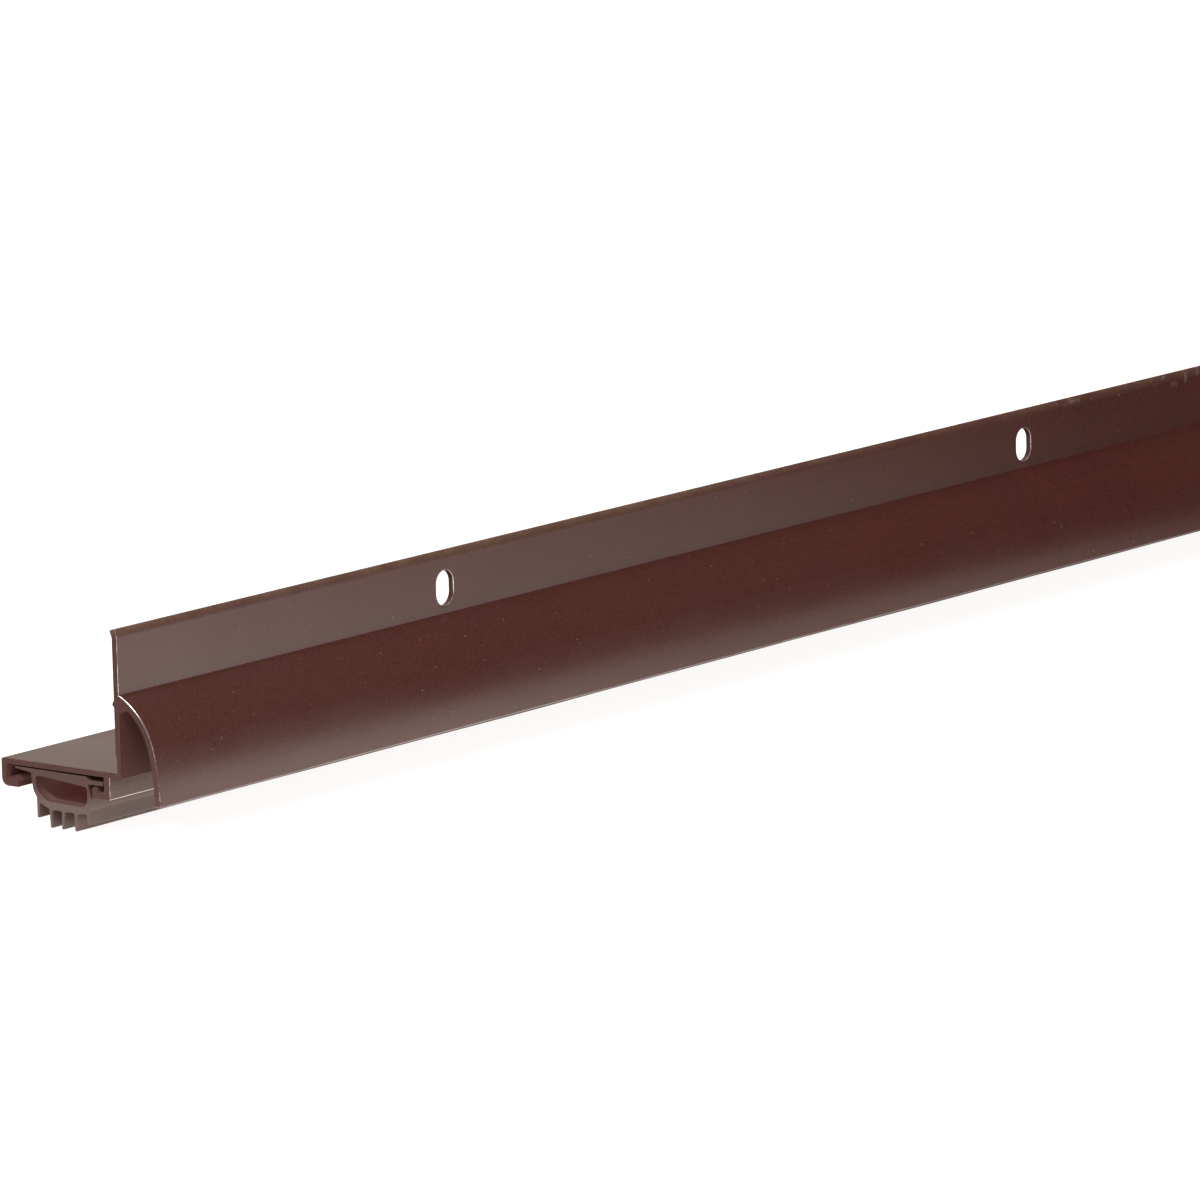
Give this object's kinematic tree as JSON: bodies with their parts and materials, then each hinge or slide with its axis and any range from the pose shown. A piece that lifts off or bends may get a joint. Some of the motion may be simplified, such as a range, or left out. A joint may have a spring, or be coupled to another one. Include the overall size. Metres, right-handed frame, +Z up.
{
  "type": "door sweep",
  "caption": "Door-bottom sweep: slotted aluminium carrier with a drip cap and an under-door leg, and a finned vinyl bulb insert that slides along its channel.",
  "frame": {"origin": "mid-length, in the plane that the door's face touches, on top of the leg that goes under the door", "axes": "+X along the sweep, +Y to the back, under the door, +Z up the flange"},
  "size_m": [0.9144, 0.0475, 0.0477],
  "materials": {
    "brown_aluminium": "brown painted or anodised extrusion, semi-gloss, bare bright metal only on the cut edges",
    "brown_vinyl": "soft brown vinyl, satin"
  },
  "bodies": {
    "carrier": {"aluminium_carrier": "brown_aluminium"},
    "insert": {"vinyl_bulb_insert": "brown_vinyl"}
  },
  "joints": [
    {"name": "insert_slide", "type": "slide", "parent": "carrier", "child": "insert", "axis": [1, 0, 0], "range_m": [-0.92, 0.92]}
  ]
}
